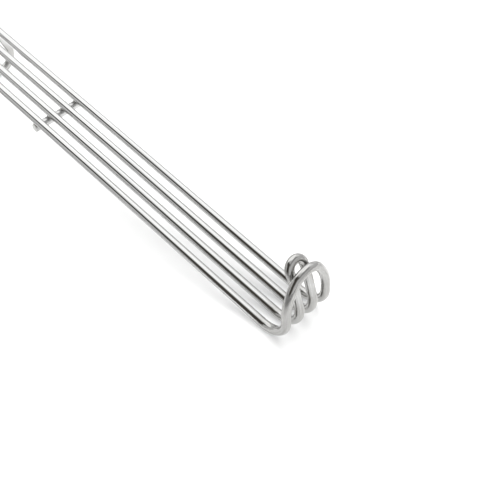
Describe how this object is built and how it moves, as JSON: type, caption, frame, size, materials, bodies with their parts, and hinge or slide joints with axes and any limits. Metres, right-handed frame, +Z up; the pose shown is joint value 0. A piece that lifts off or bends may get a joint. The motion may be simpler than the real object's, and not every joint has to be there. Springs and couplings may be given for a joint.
{
  "type": "test tube holder",
  "caption": "Sloping welded wire rest for a test tube: parallel stainless rails, turned-up loops as an end stop, cross rods below and a bent rear frame with side posts.",
  "frame": {"origin": "on the bench, under the middle of the holder's length and width", "axes": "+X down the slope to the turned-up ends, +Y across the rails, +Z up"},
  "size_m": [0.1844, 0.036, 0.0437],
  "materials": {
    "rail_steel": "polished along the rails, satin on the bends",
    "rod_steel": "satin, with matt cut ends",
    "frame_steel": "satin",
    "weld_metal": "matt, as welded and pickled"
  },
  "bodies": {
    "root": {"outer_rail_wire": "rail_steel", "inner_rail_wire": "rail_steel", "front_cross_rod": "rod_steel", "rear_cross_rod": "rod_steel", "rear_frame_wire": "frame_steel", "front_rod_welds": "weld_metal", "rear_rod_welds": "weld_metal", "frame_welds": "weld_metal"}
  },
  "joints": []
}
